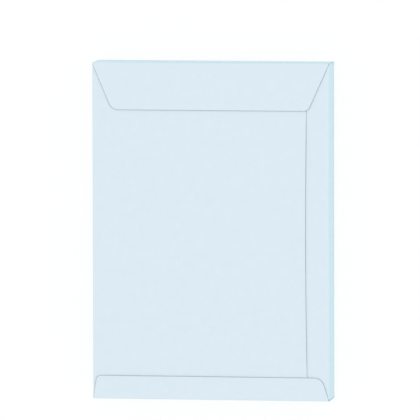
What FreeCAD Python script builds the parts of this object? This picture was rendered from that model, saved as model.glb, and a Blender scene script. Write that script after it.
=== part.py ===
import os

import FreeCAD, Part
import Sketcher

# A closed pocket envelope with square sides, folded from one sheet of pale blue paper.
# It lies on its address side: X across, Y from the bottom end to the top flap, Z up through
# the flap side. The origin is under the middle of the address side.
#
# The sheet wraps round from the address panel: up the left wall and across as the wide back
# panel, and up the right wall and in as the seam flap, which lies under the wide panel.
# Each end wall rises from the address panel and folds over the back as a flap. Tabs on the
# ends of the side walls lie behind the end walls and close the corners.

document = FreeCAD.newDocument("Envelope")

# Name, millimetres and meaning of each driving dimension.
sizes = [
    ("panelWidth", 229, "width over the side walls"),
    ("panelHeight", 324, "length over the end walls"),
    ("depth", 40, "address side to the face of the wide back panel"),
    ("paper", 0.2, "thickness of the sheet"),
    ("gum", 0.1, "thickness of an adhesive line between two layers"),
    ("foldRadius", 1.5, "outside radius of every fold"),
    ("seamInset", 20.5, "seam edge to the right side, at both ends"),
    ("seamInsetMiddle", 22.4, "seam edge to the right side, half way"),
    ("seamLap", 15, "seam flap hidden under the wide panel, half way"),
    ("gumWidth", 8, "width of an adhesive line"),
    ("gumSetback", 3.5, "free lip between a cut edge and its adhesive line"),
    ("tabLength", 14, "corner tab, past its fold"),
    ("wallInset", 0.15, "cut side of an end wall to the outside of the side wall"),
    ("topFlapLength", 45.4, "top end to the edge of the top flap"),
    ("topInsetLeft", 19, "left corner of the top flap, in from the side wall"),
    ("topInsetRight", 20, "right corner of the top flap, in from the side wall"),
    ("topRadiusLeft", 9.5, "rounding of that left corner"),
    ("topRadiusRight", 6.8, "rounding of that right corner"),
    ("bottomFlapLength", 22.6, "bottom end to the edge of the bottom flap"),
    ("bottomInsetLeft", 3.6, "left corner of the bottom flap, in from the side wall"),
    ("bottomInsetRight", 6.9, "right corner of the bottom flap, in from the side wall"),
    ("bottomRadiusLeft", 4.9, "rounding of that left corner"),
    ("bottomRadiusRight", 10.4, "rounding of that right corner"),
]

# Places that several features share, as expressions of the driving dimensions.
right = "(Sizes.panelWidth / 2)"
top = "(Sizes.panelHeight / 2)"
fold = "Sizes.foldRadius"
inner_fold = "(Sizes.foldRadius - Sizes.paper)"
fold_line = f"({top} - {fold})"
joint_line = f"({fold_line} - Sizes.paper)"
panel_underside = "(Sizes.depth - Sizes.paper)"
seam_flap_face = f"({panel_underside} - Sizes.gum)"
flap_underside = "(Sizes.depth + Sizes.gum)"
flap_face = f"({flap_underside} + Sizes.paper)"


def make_sizes():
    """Write the driving dimensions into the spreadsheet."""
    sheet = document.addObject("Spreadsheet::Sheet", "Sizes")
    for row, (name, value, meaning) in enumerate(sizes, start=1):
        sheet.set(f"A{row}", meaning)
        sheet.set(f"B{row}", str(value))
        sheet.setAlias(f"B{row}", name)
    document.recompute()


def new_sketch(body, name, role, level=None):
    """Start a sketch on an origin plane of the body, or at a level above it."""
    plane = next(item for item in body.Origin.OriginFeatures if item.Role == role)
    sketch = body.newObject("Sketcher::SketchObject", name)
    sketch.AttachmentSupport = [(plane, "")]
    sketch.MapMode = "FlatFace"
    if level:
        sketch.setExpression("AttachmentOffset.Base.z", level)
    return sketch


def add_pad(body, sketch, length, side="One side"):
    """Pad a sketch by a length, to one side of its plane or half of it to each side."""
    pad = body.newObject("PartDesign::Pad", f"{sketch.Name}Pad")
    pad.Profile = sketch
    pad.SideType = side
    pad.setExpression("Length", length)
    document.recompute()


def place_of(sketch, corner):
    """The point at which a corner's two expressions put it."""
    across, up = corner[:2]
    return FreeCAD.Vector(float(sketch.evalExpression(across)), float(sketch.evalExpression(up)), 0)


def add_size(sketch, constraint, name, expression):
    """Add a constraint whose value follows an expression."""
    number = sketch.addConstraint(constraint)
    sketch.renameConstraint(number, name)
    sketch.setExpression(f"Constraints.{name}", expression)


def hold_point(sketch, element, end, corner):
    """Hold one end of an element of a sketch at a corner's two expressions."""
    place = place_of(sketch, corner)
    across = Sketcher.Constraint("DistanceX", -1, 1, element, end, place.x)
    up = Sketcher.Constraint("DistanceY", -1, 1, element, end, place.y)
    add_size(sketch, across, f"across{element}_{end}", corner[0])
    add_size(sketch, up, f"up{element}_{end}", corner[1])


def round_corner(sketch, before, after, radius):
    """Round the corner where two lines meet. The sharp corner stays as a held point."""
    middles = [sketch.Geometry[line].value(sketch.Geometry[line].length() / 2) for line in (before, after)]
    value = float(sketch.evalExpression(radius))
    sketch.fillet(before, after, middles[0], middles[1], value, True, True)
    arc = max(
        number for number, item in enumerate(sketch.Geometry) if item.TypeId == "Part::GeomArcOfCircle"
    )
    add_size(sketch, Sketcher.Constraint("Radius", arc, value), f"radius{arc}", radius)


def draw_outline(sketch, corners):
    """Draw a closed outline.

    A corner is two expressions for its place, with a third for its radius if it is rounded.
    """
    places = [place_of(sketch, corner) for corner in corners]
    lines = [
        sketch.addGeometry(Part.LineSegment(start, end), False)
        for start, end in zip(places, places[1:] + places[:1])
    ]
    joints = list(zip(lines[-1:] + lines[:-1], lines, corners))
    for before, after, corner in joints:
        sketch.addConstraint(Sketcher.Constraint("Coincident", before, 2, after, 1))
        hold_point(sketch, after, 1, corner)
    for before, after, corner in joints:
        if len(corner) == 3:
            round_corner(sketch, before, after, corner[2])


def draw_box(sketch, left_x, right_x, low_y, high_y):
    """Draw a rectangle between four expressions."""
    draw_outline(sketch, [(left_x, low_y), (right_x, low_y), (right_x, high_y), (left_x, high_y)])


def add_wrap(body):
    """The panels and side walls, one strip bent round the length of the envelope."""
    panel_end = f"{right} - {fold}"
    seam_flap_end = f"{right} - Sizes.seamInsetMiddle - Sizes.seamLap"
    wall_inside = f"{right} - Sizes.paper"
    seam_flap_underside = f"{seam_flap_face} - Sizes.paper"
    outside = [
        (panel_end, "Sizes.depth"),
        (f"-{right}", "Sizes.depth", fold),
        (f"-{right}", "0", fold),
        (right, "0", fold),
        (right, seam_flap_face, fold),
        (seam_flap_end, seam_flap_face),
    ]
    inside = [
        (seam_flap_end, seam_flap_underside),
        (wall_inside, seam_flap_underside, inner_fold),
        (wall_inside, "Sizes.paper", inner_fold),
        (f"-({wall_inside})", "Sizes.paper", inner_fold),
        (f"-({wall_inside})", panel_underside, inner_fold),
        (panel_end, panel_underside),
    ]
    sketch = new_sketch(body, "Wrap", "XZ_Plane")
    draw_outline(sketch, outside + inside)
    add_pad(body, sketch, f"2 * {fold_line}", "Symmetric")


def cut_seam_edge(body):
    """Trim the wide panel along its seam edge, a shallow curve over the seam flap."""
    ends = [
        (f"{right} - Sizes.seamInset", fold_line),
        (right, fold_line),
        (right, f"-{fold_line}"),
        (f"{right} - Sizes.seamInset", f"-{fold_line}"),
    ]
    half_way = (f"{right} - Sizes.seamInsetMiddle", "0")
    sketch = new_sketch(body, "SeamEdge", "XY_Plane", "Sizes.depth")
    places = [place_of(sketch, corner) for corner in ends]
    lines = [
        sketch.addGeometry(Part.LineSegment(start, end), False) for start, end in zip(places, places[1:])
    ]
    hold_point(sketch, lines[0], 1, ends[0])
    for before, after, corner in zip(lines, lines[1:], ends[1:]):
        sketch.addConstraint(Sketcher.Constraint("Coincident", before, 2, after, 1))
        hold_point(sketch, after, 1, corner)
    hold_point(sketch, lines[-1], 2, ends[-1])
    arc = sketch.addGeometry(Part.Arc(places[0], place_of(sketch, half_way), places[-1]), False)
    upper_end, lower_end = (1, 2) if sketch.getPoint(arc, 1).y > 0 else (2, 1)
    sketch.addConstraint(Sketcher.Constraint("Coincident", arc, upper_end, lines[0], 1))
    sketch.addConstraint(Sketcher.Constraint("Coincident", arc, lower_end, lines[-1], 2))
    point = sketch.addGeometry(Part.Point(place_of(sketch, half_way)), True)
    hold_point(sketch, point, 1, half_way)
    sketch.addConstraint(Sketcher.Constraint("PointOnObject", point, 1, arc))
    pocket = body.newObject("PartDesign::Pocket", "SeamEdgePocket")
    pocket.Profile = sketch
    pocket.setExpression("Length", "Sizes.paper + Sizes.gum / 2")
    document.recompute()


def add_seam_gum(body):
    """The adhesive line between the seam flap and the wide panel."""
    gum_right = f"{right} - Sizes.seamInsetMiddle - Sizes.gumSetback"
    gum_end = f"({fold_line} - Sizes.gumSetback)"
    sketch = new_sketch(body, "SeamGum", "XY_Plane", seam_flap_face)
    draw_box(sketch, f"{gum_right} - Sizes.gumWidth", gum_right, f"-{gum_end}", gum_end)
    add_pad(body, sketch, "Sizes.gum")


def add_corner_tabs(body):
    """A tab on each end of each side wall, turned in behind the end wall."""
    tab_face = f"({top} - Sizes.paper)"
    tab_back = f"({tab_face} - Sizes.paper)"
    wall_inside = f"({right} - Sizes.paper)"
    tab_end = f"({right} - {inner_fold} - Sizes.tabLength)"
    sketch = new_sketch(body, "CornerTabs", "XY_Plane", fold)
    for side in ("", "-"):
        for end in ("", "-"):
            corners = [
                (side + right, end + joint_line),
                (side + right, end + tab_face, inner_fold),
                (side + tab_end, end + tab_face),
                (side + tab_end, end + tab_back),
                (side + wall_inside, end + tab_back, f"{inner_fold} - Sizes.paper"),
                (side + wall_inside, end + joint_line),
            ]
            draw_outline(sketch, corners)
    add_pad(body, sketch, f"{seam_flap_face} - 2 * {fold}")


def add_end_wall(body, name, end):
    """An end wall, with its folds to the address panel and to the flap."""
    wall_inside = f"{end}({top} - Sizes.paper)"
    outline = [
        (end + joint_line, "0"),
        (end + top, "0", fold),
        (end + top, flap_face, fold),
        (end + joint_line, flap_face),
        (end + joint_line, flap_underside),
        (wall_inside, flap_underside, inner_fold),
        (wall_inside, "Sizes.paper", inner_fold),
        (end + joint_line, "Sizes.paper"),
    ]
    sketch = new_sketch(body, f"{name}Wall", "YZ_Plane")
    draw_outline(sketch, outline)
    add_pad(body, sketch, f"2 * ({right} - Sizes.wallInset)", "Symmetric")


def add_flap(body, name, end, size):
    """A flap from its fold to its cut edge, narrower there, with two rounded corners."""
    root = f"({right} - Sizes.wallInset)"
    edge = f"{end}({top} - {size}FlapLength)"
    outline = [
        (f"-{root}", end + joint_line),
        (f"-({right} - {size}InsetLeft)", edge, f"{size}RadiusLeft"),
        (f"{right} - {size}InsetRight", edge, f"{size}RadiusRight"),
        (root, end + joint_line),
    ]
    sketch = new_sketch(body, f"{name}Flap", "XY_Plane", flap_underside)
    draw_outline(sketch, outline)
    add_pad(body, sketch, "Sizes.paper")


def add_flap_gum(body, name, end, size):
    """The adhesive line under a flap, which stops short of the seam edge."""
    gum_left = f"-({right} - {size}InsetLeft - {size}RadiusLeft)"
    gum_right = f"{right} - Sizes.seamInsetMiddle - Sizes.gumSetback"
    gum_start = f"{end}({top} - {size}FlapLength + Sizes.gumSetback)"
    gum_stop = f"{end}({top} - {size}FlapLength + Sizes.gumSetback + Sizes.gumWidth)"
    sketch = new_sketch(body, f"{name}Gum", "XY_Plane", "Sizes.depth")
    draw_box(sketch, gum_left, gum_right, gum_start, gum_stop)
    add_pad(body, sketch, "Sizes.gum")


def make_envelope():
    """Fold the whole sheet as one body."""
    body = document.addObject("PartDesign::Body", "Envelope")
    body.Label = "envelope"
    add_wrap(body)
    cut_seam_edge(body)
    add_seam_gum(body)
    add_corner_tabs(body)
    for name, end in (("Top", ""), ("Bottom", "-")):
        size = f"Sizes.{name.lower()}"
        add_end_wall(body, name, end)
        add_flap(body, name, end, size)
        add_flap_gum(body, name, end, size)
    return body


def check_document():
    """Stop if any object failed to build."""
    for item in document.Objects:
        if "Invalid" in item.State or "Error" in item.State:
            raise RuntimeError(f"{item.Name} failed to build")


def write_part(part):
    """Check a part's shape and write it under its label."""
    shape = part.Shape
    if shape.isNull() or not shape.isValid() or len(shape.Solids) != 1:
        raise RuntimeError(f"{part.Label} is not one valid solid")
    shape.exportStep(f"parts/{part.Label}.step")
    print(part.Label, "volume", round(shape.Volume, 1), "box", shape.BoundBox)


make_sizes()
envelope = make_envelope()
document.recompute()
check_document()
os.makedirs("parts", exist_ok=True)
write_part(envelope)
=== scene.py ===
import bmesh
import bpy
import math
from mathutils import Matrix, Vector


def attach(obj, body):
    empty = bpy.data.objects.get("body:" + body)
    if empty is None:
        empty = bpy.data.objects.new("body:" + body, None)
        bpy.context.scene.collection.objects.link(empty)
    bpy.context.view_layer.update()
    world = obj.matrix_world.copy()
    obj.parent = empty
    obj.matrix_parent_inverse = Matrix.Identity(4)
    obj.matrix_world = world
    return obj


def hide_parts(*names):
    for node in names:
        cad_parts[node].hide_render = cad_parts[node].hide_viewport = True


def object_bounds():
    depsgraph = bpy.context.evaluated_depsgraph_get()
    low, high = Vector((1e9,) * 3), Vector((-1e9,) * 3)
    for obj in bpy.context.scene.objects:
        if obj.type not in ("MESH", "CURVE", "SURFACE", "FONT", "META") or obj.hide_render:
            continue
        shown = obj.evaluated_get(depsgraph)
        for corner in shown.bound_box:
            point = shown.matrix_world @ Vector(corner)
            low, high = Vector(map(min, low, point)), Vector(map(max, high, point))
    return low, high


# A closed pocket envelope, folded here from its own flat blank of pale blue paper.
# It lies on its address side, flaps up: x across, y towards the long top flap.

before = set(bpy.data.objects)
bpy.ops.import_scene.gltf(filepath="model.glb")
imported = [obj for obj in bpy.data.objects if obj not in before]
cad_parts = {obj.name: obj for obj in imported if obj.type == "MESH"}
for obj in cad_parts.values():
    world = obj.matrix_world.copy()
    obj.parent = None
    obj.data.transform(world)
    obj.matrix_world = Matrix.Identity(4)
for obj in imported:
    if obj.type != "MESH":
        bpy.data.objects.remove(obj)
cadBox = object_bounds()
mm = 0.001


def linearColour(hexCode):  # sRGB hex to the linear values that the sockets take
    parts = [int(hexCode[i:i + 2], 16) / 255 for i in (1, 3, 5)]
    return [c / 12.92 if c <= 0.04045 else ((c + 0.055) / 1.055) ** 2.4 for c in parts] + [1.0]


def addNode(tree, kind, links=None, **settings):  # links: input name or number -> node, socket or value
    node = tree.nodes.new(kind)
    for name, value in settings.items():
        setattr(node, name, value)
    for key, value in (links or {}).items():
        if isinstance(value, bpy.types.Node):
            value = value.outputs[0]
        if isinstance(value, bpy.types.NodeSocket):
            tree.links.new(value, node.inputs[key])
        else:
            node.inputs[key].default_value = value
    return node


def addObject(name, data):
    obj = bpy.data.objects.new(name, data)
    bpy.context.scene.collection.objects.link(obj)
    return obj


def addMesh(name, mesh):  # a bmesh as an object
    data = bpy.data.meshes.new(name)
    mesh.to_mesh(data)
    mesh.free()
    return addObject(name, data)


# Camera: far off with a long lens, so that the sides show as thin even strips.
camera = {
    "fieldOfView": 3.0,     # degrees
    "leanRight": 8.7,       # degrees from straight above, towards the seam side
    "leanTop": 4.7,         # degrees from straight above, towards the top flap
    "roll": -0.12,          # degrees
    "distance": 7.707,      # metres
    "clipEnd": 60,          # metres, past the far end of the floor
    "aim": (-3.4, 19.4),    # mm, across and up the picture from the middle of the envelope
}


def makeCamera(c):
    data = bpy.data.cameras.new("camera")
    data.sensor_width = 36  # mm
    data.lens = data.sensor_width / 2 / math.tan(math.radians(c["fieldOfView"]) / 2)
    data.clip_end = c["clipEnd"]
    leanRight, leanTop = math.radians(c["leanRight"]), math.radians(c["leanTop"])
    back = Vector((math.tan(leanRight), math.tan(leanTop), 1)).normalized()
    across = Vector((0, 1, 0)).cross(back).normalized()
    up = back.cross(across)
    roll = math.radians(c["roll"])
    across, up = across * math.cos(roll) + up * math.sin(roll), up * math.cos(roll) - across * math.sin(roll)
    middle = (cadBox[0] + cadBox[1]) / 2
    aim = middle + across * c["aim"][0] * mm + up * c["aim"][1] * mm
    obj = addObject("camera", data)
    turn = Matrix((across, up, back)).transposed().to_4x4()
    obj.matrix_world = Matrix.Translation(aim + back * c["distance"]) @ turn
    bpy.context.scene.camera = obj


envelope = {                # mm
    "width": 229, "length": 324, "depth": 40,
    "paper": 0.2, "adhesive": 0.1, "foldRadius": 1.5,
    "seamInset": 20.5, "seamInsetMiddle": 22.4, "seamLap": 15,
    "tabLength": 14, "wallInset": 0.15, "slit": 0.15,
    "topFlap": {
        "length": 45.4, "insetLeft": 19, "insetRight": 20, "radiusLeft": 9.5, "radiusRight": 6.8,
    },
    "bottomFlap": {
        "length": 22.6, "insetLeft": 3.6, "insetRight": 6.9, "radiusLeft": 4.9, "radiusRight": 10.4,
    },

    # lip: cut edges stand up a little where no adhesive holds them
    "lipWidth": 4, "lipHeight": 0.32,
    "lipShares": (0.8, 1.1),        # least and most of that height, as it changes along an edge
    "lipPatch": 30,                 # length over which it changes
    "sideLip": 0.75,                # share of the height on the slanting sides of the flaps
    "sideLipPlaces": (84, 100),     # from the middle, where that share starts and is reached
    "flapHold": 14,                 # a flap's lip grows over this length from its fold
    "seamHold": (3, 28),            # the seam's lip starts and is full this far from a flap's edge

    # swell: all layers this near the top rise together, by the crown in the middle
    "crown": 0.5, "backLayers": 1.5,

    # drape: the flaps sink right of the seam edge, where one layer less lies below them
    "drape": 0.25,
    "drapePlaces": (0.5, 7),        # past the seam edge, where it starts and is full
    "drapeFromFold": 8,             # it grows over this length from a flap's fold

    # waves of the whole sheet: none below the first height, full above the second
    "waviness": 0.12, "waveLength": 90, "waveHeights": (1, 12),
    "seed": 4.0,

    "wallEdgeShadowShare": 0.35,          # share of the painted edge shadow on an end wall's cut sides, flush with the side walls

    # mesh only
    "edgeRings": (0.5, 0.8, 1.2, 1.4),  # widths of the rings along a cut edge, for its lip
    "foldSteps": 8, "foldSupport": 0.4, "gridStep": 8,
    "cornerSteps": 10, "seamSteps": 32,
    "sharpAngle": 40,               # degrees
}


def blankSizes(e):  # where the folds lie on the flat blank, in metres along the middle of the sheet
    halfWidth, halfLength, radius = e["width"] / 2, e["length"] / 2, e["foldRadius"]
    paper, adhesive = e["paper"], e["adhesive"]
    s = {"bend": radius - paper / 2, "tabBend": radius - paper - adhesive - paper / 2}
    s["arc"] = s["bend"] * math.pi / 2
    s["tabArc"] = s["tabBend"] * math.pi / 2
    s["side"] = halfWidth - radius
    s["backRight"] = s["side"] + s["arc"] + (e["depth"] - paper - adhesive - 2 * radius)
    s["backLeft"] = s["side"] + s["arc"] + (e["depth"] - 2 * radius)
    s["seamFlapEnd"] = s["backRight"] + s["arc"] + e["seamInsetMiddle"] + e["seamLap"] - radius
    s["panelStart"] = s["backLeft"] + s["arc"]
    s["panelWidth"] = e["width"] - radius
    s["end"] = halfLength - radius
    s["endHalfWidth"] = halfWidth - e["wallInset"]
    s["flap"] = s["end"] + s["arc"] + (e["depth"] + adhesive + paper - 2 * radius)
    s["flapStart"] = s["flap"] + s["arc"]
    s["tabEnd"] = s["end"] + s["tabArc"] + e["tabLength"]
    return {name: value * mm for name, value in s.items()}


def roundedCorner(before, corner, after, radius, steps):
    a, b = (before - corner).normalized(), (after - corner).normalized()
    half = a.angle(b) / 2
    centre = corner + (a + b).normalized() * radius / math.sin(half)
    start = corner + a * radius / math.tan(half) - centre
    stop = corner + b * radius / math.tan(half) - centre
    sweep = start.angle(stop)
    points = []
    for k in range(steps + 1):
        arm = start * math.sin(sweep * (1 - k / steps)) + stop * math.sin(sweep * k / steps)
        points.append(centre + arm / math.sin(sweep))
    return points


def flapOutline(e, s, flap, sign):  # from its right fold end round to its left one, sign 1 for the top flap
    halfWidth, root = e["width"] / 2 * mm, s["endHalfWidth"]
    edge = s["flapStart"] + (flap["length"] - e["foldRadius"]) * mm
    rootRight, rootLeft = Vector((root, sign * s["flapStart"])), Vector((-root, sign * s["flapStart"]))
    right = Vector((halfWidth - flap["insetRight"] * mm, sign * edge))
    left = Vector((-halfWidth + flap["insetLeft"] * mm, sign * edge))
    return (
        [rootRight]
        + roundedCorner(rootRight, right, left, flap["radiusRight"] * mm, e["cornerSteps"])
        + roundedCorner(right, left, rootLeft, flap["radiusLeft"] * mm, e["cornerSteps"])
        + [rootLeft]
    )


def seamOutline(e, s):  # from the top end down: an arc, nearer the middle half way
    inset, deep = e["seamInset"] * mm, (e["seamInsetMiddle"] - e["seamInset"]) * mm
    radius = (s["end"] ** 2 + deep ** 2) / (2 * deep)
    points = []
    for k in range(e["seamSteps"] + 1):
        y = s["end"] * (1 - 2 * k / e["seamSteps"])
        across = inset + deep - (radius - math.sqrt(radius ** 2 - y ** 2))
        points.append(Vector((-s["panelStart"] - s["panelWidth"] + across, y)))
    return points


def blankOutline(e, s):  # counter-clockwise, the inside of the paper facing up
    near, far = s["side"] + s["arc"], s["tabEnd"]
    root, slit = s["endHalfWidth"], s["end"] + e["slit"] * mm
    rightTop = [
        (s["seamFlapEnd"], s["end"]), (s["backRight"], s["end"]), (s["backRight"], far), (near, far),
        (near, s["end"]), (s["side"], s["end"]), (s["side"], slit), (root, slit),
    ]
    leftTop = [
        (-root, slit), (-s["side"], slit), (-s["side"], s["end"]), (-near, s["end"]),
        (-near, far), (-s["backLeft"], far), (-s["backLeft"], s["end"]),
    ]
    leftBottom = [(x, -y) for x, y in reversed(leftTop)]
    rightBottom = [(x, -y) for x, y in reversed(rightTop)]
    top = flapOutline(e, s, e["topFlap"], 1)
    bottom = flapOutline(e, s, e["bottomFlap"], -1)[::-1]
    points = rightTop + top + leftTop + seamOutline(e, s) + leftBottom + bottom + rightBottom
    return [Vector((p[0], p[1], 0)) for p in points]


def cutLines(e, low, high, folds):  # grid lines: fine through each fold, coarse between them
    lines = set()  # rounded to 0.1 micrometres, so that lines that meet count once
    for start, arc in folds:
        for k in range(e["foldSteps"] + 1):
            lines.add(round(start + arc * k / e["foldSteps"], 7))
        support = e["foldSupport"] * mm
        lines |= {round(start - support, 7), round(start + arc + support, 7)}
    step = e["gridStep"] * mm
    clear = step / 3  # no coarse line this near a fold
    for k in range(math.ceil(low / step), math.floor(high / step) + 1):
        if all(not start - clear < k * step < start + arc + clear for start, arc in folds):
            lines.add(round(k * step, 7))
    return sorted(lines)


def makeBlank(e, s):
    mesh = bmesh.new()
    sheet = mesh.faces.new([mesh.verts.new(p) for p in blankOutline(e, s)])
    sheet.normal_update()
    for ring in e["edgeRings"]:
        bmesh.ops.inset_region(
            mesh, faces=[max(mesh.faces, key=lambda f: f.calc_area())], thickness=ring * mm,
            use_boundary=True, use_even_offset=True,
        )
    arc = s["arc"]
    acrossFolds = [
        (s["side"], arc), (s["backRight"], arc), (-s["side"] - arc, arc), (-s["backLeft"] - arc, arc),
    ]
    upFolds = [(s["end"], arc), (s["flap"], arc), (-s["end"] - arc, arc), (-s["flap"] - arc, arc)]
    low, high = min(v.co.x for v in mesh.verts), max(v.co.x for v in mesh.verts)
    reach = max(v.co.y for v in mesh.verts)
    for axis, lines in (
        (Vector((1, 0, 0)), cutLines(e, low, high, acrossFolds)),
        (Vector((0, 1, 0)), cutLines(e, -reach, reach, upFolds)),
    ):
        for line in lines:
            bmesh.ops.bisect_plane(
                mesh, geom=mesh.verts[:] + mesh.edges[:] + mesh.faces[:], dist=1e-6,
                plane_co=axis * line, plane_no=axis,
            )
    bmesh.ops.remove_doubles(mesh, verts=mesh.verts[:], dist=2e-6)
    # metres of flat paper, so that patterns follow the sheet round its folds
    layer = mesh.loops.layers.uv.new("blank")
    for face in mesh.faces:
        for loop in face.loops:
            loop[layer].uv = loop.vert.co.xy
    return addMesh("envelopeSheet", mesh)


def newTree(name, inputs):
    tree = bpy.data.node_groups.new(name, "GeometryNodeTree")
    tree.interface.new_socket("Geometry", in_out="INPUT", socket_type="NodeSocketGeometry")
    for label, kind in inputs:
        tree.interface.new_socket(label, in_out="INPUT", socket_type="NodeSocket" + kind)
    tree.interface.new_socket("Geometry", in_out="OUTPUT", socket_type="NodeSocketGeometry")
    return tree, addNode(tree, "NodeGroupInput").outputs


def makeFoldTree():  # bends what lies past a fold line up through a right angle, round the fold's radius
    tree, given = newTree("foldOnce", [
        ("Selection", "Bool"), ("Direction", "Vector"), ("Start", "Float"), ("Radius", "Float"),
    ])
    direction, start, radius = given["Direction"], given["Start"], given["Radius"]
    place = addNode(tree, "GeometryNodeInputPosition")
    along = addNode(tree, "ShaderNodeVectorMath", {0: place, 1: direction}, operation="DOT_PRODUCT")
    reach = along.outputs["Value"]
    height = addNode(tree, "ShaderNodeSeparateXYZ", {0: place}).outputs["Z"]
    past = addNode(tree, "ShaderNodeMath", {0: reach, 1: start}, operation="SUBTRACT")
    turned = addNode(tree, "ShaderNodeMath", {0: past, 1: radius}, operation="DIVIDE")
    angle = addNode(tree, "ShaderNodeClamp", {"Value": turned, "Min": 0, "Max": math.pi / 2})
    arc = addNode(tree, "ShaderNodeMath", {0: radius, 1: math.pi / 2}, operation="MULTIPLY")
    beyond = addNode(tree, "ShaderNodeMath", {0: past, 1: arc}, operation="SUBTRACT")
    rest = addNode(tree, "ShaderNodeMath", {0: beyond, 1: 0}, operation="MAXIMUM")
    sine = addNode(tree, "ShaderNodeMath", {0: angle}, operation="SINE")
    cosine = addNode(tree, "ShaderNodeMath", {0: angle}, operation="COSINE")
    arm = addNode(tree, "ShaderNodeMath", {0: radius, 1: height}, operation="SUBTRACT")
    # new reach = min(reach, start) + arm sin + rest cos
    flat = addNode(tree, "ShaderNodeMath", {0: reach, 1: start}, operation="MINIMUM")
    outward = addNode(tree, "ShaderNodeMath", {0: arm, 1: sine, 2: flat}, operation="MULTIPLY_ADD")
    newReach = addNode(tree, "ShaderNodeMath", {0: rest, 1: cosine, 2: outward}, operation="MULTIPLY_ADD")
    # new height = radius - arm cos + rest sin
    lowered = addNode(tree, "ShaderNodeMath", {0: arm, 1: cosine}, operation="MULTIPLY")
    raised = addNode(tree, "ShaderNodeMath", {0: radius, 1: lowered}, operation="SUBTRACT")
    newHeight = addNode(tree, "ShaderNodeMath", {0: rest, 1: sine, 2: raised}, operation="MULTIPLY_ADD")
    moveOut = addNode(tree, "ShaderNodeMath", {0: newReach, 1: reach}, operation="SUBTRACT")
    moveUp = addNode(tree, "ShaderNodeMath", {0: newHeight, 1: height}, operation="SUBTRACT")
    sideways = addNode(tree, "ShaderNodeVectorMath", {0: direction, "Scale": moveOut}, operation="SCALE")
    upwards = addNode(tree, "ShaderNodeCombineXYZ", {"Z": moveUp})
    move = addNode(tree, "ShaderNodeVectorMath", {0: sideways, 1: upwards}, operation="ADD")
    moved = addNode(tree, "GeometryNodeSetPosition", {
        "Geometry": given["Geometry"], "Selection": given["Selection"], "Offset": move,
    })
    addNode(tree, "NodeGroupOutput", {0: moved})
    return tree


def addSwell(tree, given, parts):  # how far the back rises: most in the middle, not at all at the folds
    swell = given["Crown"]
    for part, fold in (("X", "Side Fold"), ("Y", "End Fold")):
        share = addNode(tree, "ShaderNodeMath", {0: parts[part], 1: given[fold]}, operation="DIVIDE")
        square = addNode(tree, "ShaderNodeMath", {0: share, 1: share}, operation="MULTIPLY")
        fall = addNode(tree, "ShaderNodeMath", {0: 1.0, 1: square}, operation="SUBTRACT", use_clamp=True)
        swell = addNode(tree, "ShaderNodeMath", {0: swell, 1: fall}, operation="MULTIPLY")
    onBack = addNode(tree, "ShaderNodeMath", {
        0: parts["Z"], 1: given["Back Level"],
    }, operation="GREATER_THAN")
    return addNode(tree, "ShaderNodeMath", {0: swell, 1: onBack}, operation="MULTIPLY")


def addLip(tree, given, parts, flat, flatX, flatAcross, flatUp):  # how far a free cut edge stands up
    toEdge = addNode(tree, "GeometryNodeInputNamedAttribute", {"Name": "edgeDistance"}, data_type="FLOAT")
    nearness = addNode(tree, "ShaderNodeMapRange", {0: toEdge, 1: 0.0, 2: given["Lip Width"], 3: 1.0, 4: 0.0})
    curl = addNode(tree, "ShaderNodeMath", {0: nearness, 1: nearness}, operation="MULTIPLY")
    onFlap = addNode(tree, "ShaderNodeMapRange", {
        0: flatUp, 1: given["Flap Start"], 2: given["Flap Free"], 3: 0.0, 4: 1.0,
    }, interpolation_type="SMOOTHSTEP")
    bySide = addNode(tree, "ShaderNodeMapRange", {
        0: flatAcross, 1: given["Side Lip Start"], 2: given["Side Lip Full"], 3: 1.0, 4: given["Side Lip"],
    }, interpolation_type="SMOOTHSTEP")
    onFlap = addNode(tree, "ShaderNodeMath", {0: onFlap, 1: bySide}, operation="MULTIPLY")
    leftOut = addNode(tree, "ShaderNodeMath", {0: flatX, 1: -1.0}, operation="MULTIPLY")
    onSeam = addNode(tree, "ShaderNodeMath", {0: leftOut, 1: given["Panel Start"]}, operation="GREATER_THAN")
    for edge, sign in (("Top Flap Edge", 1.0), ("Bottom Flap Edge", -1.0)):  # none under the flaps
        towards = addNode(tree, "ShaderNodeMath", {0: parts["Y"], 1: sign}, operation="MULTIPLY")
        clear = addNode(tree, "ShaderNodeMath", {0: given[edge], 1: towards}, operation="SUBTRACT")
        shown = addNode(tree, "ShaderNodeMapRange", {
            0: clear, 1: given["Seam Lip Start"], 2: given["Seam Lip Full"], 3: 0.0, 4: 1.0,
        }, interpolation_type="SMOOTHSTEP")
        onSeam = addNode(tree, "ShaderNodeMath", {0: onSeam, 1: shown}, operation="MULTIPLY")
    free = addNode(tree, "ShaderNodeMath", {0: onFlap, 1: onSeam}, operation="ADD")
    uneven = addNode(tree, "ShaderNodeTexNoise", {
        "Vector": flat, "W": given["Seed"], "Scale": given["Lip Noise Scale"], "Detail": 1.0,
    }, noise_dimensions="4D")
    share = addNode(tree, "ShaderNodeMapRange", {  # most of the noise lies between 0.3 and 0.7
        0: uneven, 1: 0.3, 2: 0.7, 3: given["Least Lip"], 4: given["Most Lip"],
    })
    lip = addNode(tree, "ShaderNodeMath", {0: given["Lip Height"], 1: share}, operation="MULTIPLY")
    for factor in (curl, free):
        lip = addNode(tree, "ShaderNodeMath", {0: lip, 1: factor}, operation="MULTIPLY")
    return lip


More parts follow.
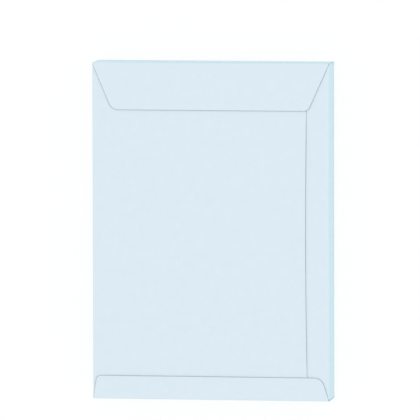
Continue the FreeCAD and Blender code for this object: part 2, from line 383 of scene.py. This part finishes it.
def addDrape(tree, given, parts, flatUp, onEnd):  # how far the flaps sink past the seam edge
    pastSeam = addNode(tree, "ShaderNodeMath", {0: parts["X"], 1: given["Seam Place"]}, operation="SUBTRACT")
    sunk = addNode(tree, "ShaderNodeMapRange", {
        0: pastSeam, 1: given["Drape Start"], 2: given["Drape Full"], 3: 0.0, 4: given["Drape"],
    }, interpolation_type="SMOOTHSTEP")
    loose = addNode(tree, "ShaderNodeMapRange", {
        0: flatUp, 1: given["Flap Start"], 2: given["Flap Draped"], 3: 0.0, 4: 1.0,
    }, interpolation_type="SMOOTHSTEP")
    for factor in (loose, onEnd):
        sunk = addNode(tree, "ShaderNodeMath", {0: sunk, 1: factor}, operation="MULTIPLY")
    return sunk


def addWaves(tree, given, place, parts):  # neighbouring layers move alike, and the side it lies on stays flat
    waves = addNode(tree, "ShaderNodeTexNoise", {
        "Vector": place, "W": given["Seed"], "Scale": given["Wave Noise Scale"], "Detail": 1.0,
    }, noise_dimensions="4D").outputs["Color"]
    # the noise lies half a unit to each side of 0.5, hence the doubling
    around = addNode(tree, "ShaderNodeVectorMath", {0: waves, 1: (0.5, 0.5, 0.5)}, operation="SUBTRACT")
    twice = addNode(tree, "ShaderNodeMath", {0: given["Waviness"], 1: 2.0}, operation="MULTIPLY")
    offTable = addNode(tree, "ShaderNodeMapRange", {
        0: parts["Z"], 1: given["Wave Start"], 2: given["Wave Full"], 3: 0.0, 4: 1.0,
    }, interpolation_type="SMOOTHSTEP")
    amount = addNode(tree, "ShaderNodeMath", {0: twice, 1: offTable}, operation="MULTIPLY")
    return addNode(tree, "ShaderNodeVectorMath", {0: around, "Scale": amount}, operation="SCALE")


def makeEnvelopeTree(values, foldTree):
    kinds = {name: "Float" for name in values} | {"Material": "Material"}
    tree, given = newTree("foldEnvelope", kinds.items())
    # the flat place and the distance to the cut edge are kept on the sheet before it is folded
    place = addNode(tree, "GeometryNodeInputPosition")
    sheet = addNode(tree, "GeometryNodeStoreNamedAttribute", {
        "Geometry": given["Geometry"], "Name": "flatPlace", "Value": place,
    }, data_type="FLOAT_VECTOR", domain="POINT")
    faces = addNode(tree, "GeometryNodeInputMeshEdgeNeighbors")
    isCut = addNode(tree, "FunctionNodeCompare", {2: faces, 3: 1}, data_type="INT", operation="EQUAL")
    rim = addNode(tree, "GeometryNodeSeparateGeometry", {
        "Geometry": sheet, "Selection": isCut,
    }, domain="EDGE")
    toRim = addNode(tree, "GeometryNodeProximity", {0: rim}, target_element="EDGES").outputs["Distance"]
    sheet = addNode(tree, "GeometryNodeStoreNamedAttribute", {
        "Geometry": sheet, "Name": "edgeDistance", "Value": toRim,
    }, data_type="FLOAT", domain="POINT")

    # end walls and flaps lie past the end folds within the width, and the corner tabs outside it
    flat = addNode(tree, "GeometryNodeInputNamedAttribute", {"Name": "flatPlace"}, data_type="FLOAT_VECTOR")
    flatParts = addNode(tree, "ShaderNodeSeparateXYZ", {0: flat}).outputs
    flatAcross = addNode(tree, "ShaderNodeMath", {0: flatParts["X"]}, operation="ABSOLUTE")
    flatUp = addNode(tree, "ShaderNodeMath", {0: flatParts["Y"]}, operation="ABSOLUTE")
    onTab = addNode(tree, "FunctionNodeCompare", {
        0: flatAcross, 1: given["Tab Start"],
    }, data_type="FLOAT", operation="GREATER_THAN")
    inWidth = addNode(tree, "FunctionNodeCompare", {
        0: flatAcross, 1: given["End Half Width"],
    }, data_type="FLOAT", operation="LESS_THAN")
    pastFold = addNode(tree, "FunctionNodeCompare", {
        0: flatUp, 1: given["End Start"],
    }, data_type="FLOAT", operation="GREATER_THAN")
    onEnd = addNode(tree, "FunctionNodeBooleanMath", {0: inWidth, 1: pastFold}, operation="AND")
    offEnd = addNode(tree, "FunctionNodeBooleanMath", {0: onEnd}, operation="NOT")
    beforeFlap = addNode(tree, "FunctionNodeCompare", {
        0: flatUp, 1: given["Flap Start"],
    }, data_type="FLOAT", operation="LESS_THAN")
    onWall = addNode(tree, "FunctionNodeBooleanMath", {0: onEnd, 1: beforeFlap}, operation="AND")
    # how much painted edge shadow each point takes: less on the end walls, whose cut sides lie flush
    shade = addNode(tree, "GeometryNodeSwitch", {
        "Switch": onWall, "False": 1.0, "True": given["Wall Edge Shadow Share"],
    }, input_type="FLOAT")
    sheet = addNode(tree, "GeometryNodeStoreNamedAttribute", {
        "Geometry": sheet, "Name": "edgeShadowShare", "Value": shade,
    }, data_type="FLOAT", domain="POINT")

    right, left, up, down = (1, 0, 0), (-1, 0, 0), (0, 1, 0), (0, -1, 0)
    for direction, start, radius, chosen in (  # the outermost fold comes first
        (up, "End Fold", "Tab Bend Radius", onTab), (down, "End Fold", "Tab Bend Radius", onTab),
        (right, "Right Back Fold", "Bend Radius", offEnd), (left, "Left Back Fold", "Bend Radius", offEnd),
        (right, "Side Fold", "Bend Radius", offEnd), (left, "Side Fold", "Bend Radius", offEnd),
        (up, "Flap Fold", "Bend Radius", onEnd), (down, "Flap Fold", "Bend Radius", onEnd),
        (up, "End Fold", "Bend Radius", onEnd), (down, "End Fold", "Bend Radius", onEnd),
    ):
        sheet = addNode(tree, "GeometryNodeGroup", {
            "Geometry": sheet, "Selection": chosen, "Direction": direction,
            "Start": given[start], "Radius": given[radius],
        }, node_tree=foldTree)
    rise = addNode(tree, "ShaderNodeCombineXYZ", {"Z": given["Half Paper"]})
    sheet = addNode(tree, "GeometryNodeSetPosition", {"Geometry": sheet, "Offset": rise})

    parts = addNode(tree, "ShaderNodeSeparateXYZ", {0: place}).outputs
    swell = addSwell(tree, given, parts)
    lip = addLip(tree, given, parts, flat, flatParts["X"], flatAcross, flatUp)
    drape = addDrape(tree, given, parts, flatUp, onEnd)
    lift = addNode(tree, "ShaderNodeMath", {0: swell, 1: lip}, operation="ADD")
    lift = addNode(tree, "ShaderNodeMath", {0: lift, 1: drape}, operation="SUBTRACT")
    lifted = addNode(tree, "ShaderNodeCombineXYZ", {"Z": lift})
    sheet = addNode(tree, "GeometryNodeSetPosition", {"Geometry": sheet, "Offset": lifted})
    sheet = addNode(tree, "GeometryNodeSetPosition", {
        "Geometry": sheet, "Offset": addWaves(tree, given, place, parts),
    })
    sheet = addNode(tree, "GeometryNodeRealizeInstances", {"Geometry": sheet})
    sheet = addNode(tree, "GeometryNodeSetMaterial", {"Geometry": sheet, "Material": given["Material"]})
    addNode(tree, "NodeGroupOutput", {0: sheet})
    return tree


def treeValues(e, s, material):  # what the fold tree's named inputs are given
    halfLength, flapStart = e["length"] / 2, s["flapStart"]
    return {
        "Side Fold": s["side"], "Right Back Fold": s["backRight"], "Left Back Fold": s["backLeft"],
        "End Fold": s["end"], "Flap Fold": s["flap"],
        "Bend Radius": s["bend"], "Tab Bend Radius": s["tabBend"],
        # these three lie just off the cut edges, so that points on an edge go with their own part
        "End Half Width": s["endHalfWidth"] + 0.01 * mm,
        "End Start": s["end"] + e["slit"] * mm / 2,
        "Tab Start": s["side"] + s["arc"] - 0.1 * mm,
        "Flap Start": flapStart, "Panel Start": s["panelStart"],
        "Half Paper": e["paper"] / 2 * mm,
        "Back Level": (e["depth"] - e["backLayers"]) * mm, "Crown": e["crown"] * mm,
        "Lip Width": e["lipWidth"] * mm, "Lip Height": e["lipHeight"] * mm,
        "Least Lip": e["lipShares"][0], "Most Lip": e["lipShares"][1],
        "Lip Noise Scale": 1 / (e["lipPatch"] * mm),
        "Flap Free": flapStart + e["flapHold"] * mm, "Side Lip": e["sideLip"],
        "Side Lip Start": e["sideLipPlaces"][0] * mm, "Side Lip Full": e["sideLipPlaces"][1] * mm,
        "Top Flap Edge": (halfLength - e["topFlap"]["length"]) * mm,
        "Bottom Flap Edge": (halfLength - e["bottomFlap"]["length"]) * mm,
        "Seam Lip Start": e["seamHold"][0] * mm, "Seam Lip Full": e["seamHold"][1] * mm,
        "Seam Place": (e["width"] / 2 - e["seamInset"]) * mm, "Drape": e["drape"] * mm,
        "Drape Start": e["drapePlaces"][0] * mm, "Drape Full": e["drapePlaces"][1] * mm,
        "Flap Draped": flapStart + e["drapeFromFold"] * mm,
        "Waviness": e["waviness"] * mm, "Wave Noise Scale": 1 / (e["waveLength"] * mm),
        "Wave Start": e["waveHeights"][0] * mm, "Wave Full": e["waveHeights"][1] * mm,
        "Wall Edge Shadow Share": e["wallEdgeShadowShare"], "Seed": e["seed"], "Material": material,
    }


def foldSheet(obj, e, s, material):
    values = treeValues(e, s, material)
    folds = obj.modifiers.new("folds", "NODES")
    folds.node_group = makeEnvelopeTree(values, makeFoldTree())
    for item in folds.node_group.interface.items_tree:
        if item.item_type == "SOCKET" and item.in_out == "INPUT" and item.name in values:
            folds[item.identifier] = values[item.name]
    thick = obj.modifiers.new("paper", "SOLIDIFY")
    thick.thickness = e["paper"] * mm
    thick.offset = 0
    thick.use_even_offset = True
    thick.use_rim = True
    bpy.context.view_layer.update()
    data = bpy.data.meshes.new_from_object(obj.evaluated_get(bpy.context.evaluated_depsgraph_get()))
    flat = obj.data
    obj.modifiers.clear()
    obj.data = data
    bpy.data.meshes.remove(flat)
    data.name = obj.name
    for polygon in data.polygons:
        polygon.use_smooth = True
    data.set_sharp_from_angle(angle=math.radians(e["sharpAngle"]))


# Uncoated wove envelope paper, dyed pale blue in the pulp: matt and even, and faintly cloudy
# where the fibres lie thicker.
paper = {
    "colour": "#DEEBF4", "cloudColour": "#DCEAF3",
    "edgeShadowColour": "#8E9CA6", "edgeShadowWidth": 0.55,  # mm, painted shadow along each cut edge, standing in for the shade in the gap beside it
    "cloudSize": 9,         # mm
    "fibreSize": 0.9,       # mm, real fibres are 1 to 2 mm long and far thinner, drawn coarser to show
    "fibreScaleUp": 0.4,    # scale up the sheet against 1 across it, so fibres look longer that way
    "fibreHeight": 0.02,    # mm
    "fibreShows": 0.25,
    "roughness": (0.82, 0.92),
    "ior": 1.45, "specular": 0.25,
}


def makePaper(p):
    material = bpy.data.materials.new("paleBlueWovePaper")
    material.use_nodes = True
    tree = material.node_tree
    tree.nodes.clear()
    blank = addNode(tree, "ShaderNodeUVMap", uv_map="blank")
    clouds = addNode(tree, "ShaderNodeTexNoise", {
        "Vector": blank, "Scale": 1 / (p["cloudSize"] * mm), "Detail": 3.0, "Roughness": 0.55,
    })
    cloudy = addNode(tree, "ShaderNodeMapRange", {0: clouds, 1: 0.35, 2: 0.65, 3: 0.0, 4: 1.0})
    colour = addNode(tree, "ShaderNodeMix", {
        "Factor": cloudy, 6: linearColour(p["colour"]), 7: linearColour(p["cloudColour"]),
    }, data_type="RGBA").outputs[2]
    # painted shadow: a grey band along the cut edges, darkest at the edge, in place of the shade in the thin
    # gaps there
    toEdge = addNode(tree, "ShaderNodeAttribute", attribute_name="edgeDistance").outputs["Fac"]
    edgeShadowShare = addNode(tree, "ShaderNodeAttribute", attribute_name="edgeShadowShare").outputs["Fac"]
    paintedEdgeShadow = addNode(tree, "ShaderNodeMapRange", {
        0: toEdge, 1: 0.0, 2: p["edgeShadowWidth"] * mm, 3: 1.0, 4: 0.0,
    }, interpolation_type="SMOOTHSTEP")
    paintedEdgeShadow = addNode(tree, "ShaderNodeMath", {0: paintedEdgeShadow, 1: edgeShadowShare}, operation="MULTIPLY")
    colour = addNode(tree, "ShaderNodeMix", {
        "Factor": paintedEdgeShadow, 6: colour, 7: linearColour(p["edgeShadowColour"]),
    }, data_type="RGBA").outputs[2]
    stretched = addNode(tree, "ShaderNodeMapping", {"Vector": blank, "Scale": (1.0, p["fibreScaleUp"], 1.0)})
    fibres = addNode(tree, "ShaderNodeTexNoise", {
        "Vector": stretched, "Scale": 1 / (p["fibreSize"] * mm), "Detail": 5.0, "Roughness": 0.7,
    })
    bump = addNode(tree, "ShaderNodeBump", {
        "Strength": p["fibreShows"], "Distance": p["fibreHeight"] * mm, "Height": fibres,
    })
    smoothest, roughest = p["roughness"]
    rough = addNode(tree, "ShaderNodeMapRange", {0: fibres, 1: 0.3, 2: 0.7, 3: smoothest, 4: roughest})
    shader = addNode(tree, "ShaderNodeBsdfPrincipled", {
        "Base Color": colour, "Roughness": rough, "Normal": bump,
        "IOR": p["ior"], "Specular IOR Level": p["specular"],
    })
    addNode(tree, "ShaderNodeOutputMaterial", {"Surface": shader})
    return material


# Table and light.
studio = {
    "floorSize": 6,         # metres
    "floorDrop": 0.1,       # mm under the envelope
    "floorColour": "#D9EFF0",
    "grainSize": 4,         # mm
    "grainShades": (0.99, 1.0),
    "floorShows": 0.8,      # share of even white that the camera sees in the floor, the rest keeps the shadow
    "floorWhite": (1.085, 1.047, 1.045),    # linear, fills the tinted board up to white out of the shadow
    "sky": 0.98,
    "boxes": [              # soft boxes: name, place in metres, width, watts, colour
        ("softBoxRight", (2.2, 0.0, 0.7), 1.6, 3.5, (0.58, 1.0, 0.86)),
        ("softBoxTop", (0.0, 2.4, 0.7), 1.6, 2.5, (0.85, 1.0, 1.0)),
    ],
}


def addSeen(tree):  # 1 for the rays that show the background: camera, glossy and transmission rays
    rays = addNode(tree, "ShaderNodeLightPath").outputs
    seen = rays["Is Camera Ray"]
    for name in ("Is Glossy Ray", "Is Transmission Ray"):
        seen = addNode(tree, "ShaderNodeMath", {0: seen, 1: rays[name]}, operation="ADD", use_clamp=True)
    return seen


def makeFloor(c):
    mesh = bmesh.new()
    level = Matrix.Translation((0, 0, -c["floorDrop"] * mm))
    bmesh.ops.create_grid(mesh, x_segments=1, y_segments=1, size=c["floorSize"] / 2, matrix=level)
    floor = addMesh("floor", mesh)
    # plain matt board: shows as white, keeps a faint shadow
    material = bpy.data.materials.new("mattWhiteTable")
    material.use_nodes = True
    tree = material.node_tree
    tree.nodes.clear()
    place = addNode(tree, "ShaderNodeTexCoord").outputs["Object"]
    grain = addNode(tree, "ShaderNodeTexNoise", {"Vector": place, "Scale": 1 / (c["grainSize"] * mm)})
    darkest, lightest = c["grainShades"]
    shade = addNode(tree, "ShaderNodeMapRange", {0: grain, 1: 0.0, 2: 1.0, 3: darkest, 4: lightest})
    tint = tuple(linearColour(c["floorColour"])[:3])
    colour = addNode(tree, "ShaderNodeVectorMath", {0: tint, "Scale": shade}, operation="SCALE")
    board = addNode(tree, "ShaderNodeBsdfDiffuse", {"Color": colour})
    white = addNode(tree, "ShaderNodeEmission", {"Color": (*c["floorWhite"], 1), "Strength": 1.0})
    share = addNode(tree, "ShaderNodeMath", {0: addSeen(tree), 1: c["floorShows"]}, operation="MULTIPLY")
    mixed = addNode(tree, "ShaderNodeMixShader", {0: share, 1: board, 2: white})
    addNode(tree, "ShaderNodeOutputMaterial", {"Surface": mixed})
    floor.data.materials.append(material)


def makeWorld(c):
    world = bpy.data.worlds.new("studio")
    bpy.context.scene.world = world
    world.use_nodes = True
    tree = world.node_tree
    tree.nodes.clear()
    light = addNode(tree, "ShaderNodeBackground", {"Color": (1, 1, 1, 1), "Strength": c["sky"]})
    white = addNode(tree, "ShaderNodeBackground", {"Color": (1, 1, 1, 1), "Strength": 1.0})
    mixed = addNode(tree, "ShaderNodeMixShader", {0: addSeen(tree), 1: light, 2: white})
    addNode(tree, "ShaderNodeOutputWorld", {"Surface": mixed})


def makeLights(c):
    for name, place, width, power, colour in c["boxes"]:
        data = bpy.data.lights.new(name, "AREA")
        data.size = width
        data.energy = power
        data.color = colour
        light = addObject(name, data)
        light.location = place
        light.rotation_euler = (-Vector(place)).to_track_quat("-Z", "Y").to_euler()


bpy.context.scene.view_settings.view_transform = "Standard"
makeCamera(camera)
makeWorld(studio)
makeLights(studio)
makeFloor(studio)
print("camera, light and floor")

sizes = blankSizes(envelope)
sheet = makeBlank(envelope, sizes)
print("blank", len(sheet.data.polygons), "faces")
foldSheet(sheet, envelope, sizes, makePaper(paper))
print("folded", len(sheet.data.polygons), "faces", [round(v, 4) for v in sheet.dimensions])
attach(sheet, "root")
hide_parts("envelope")
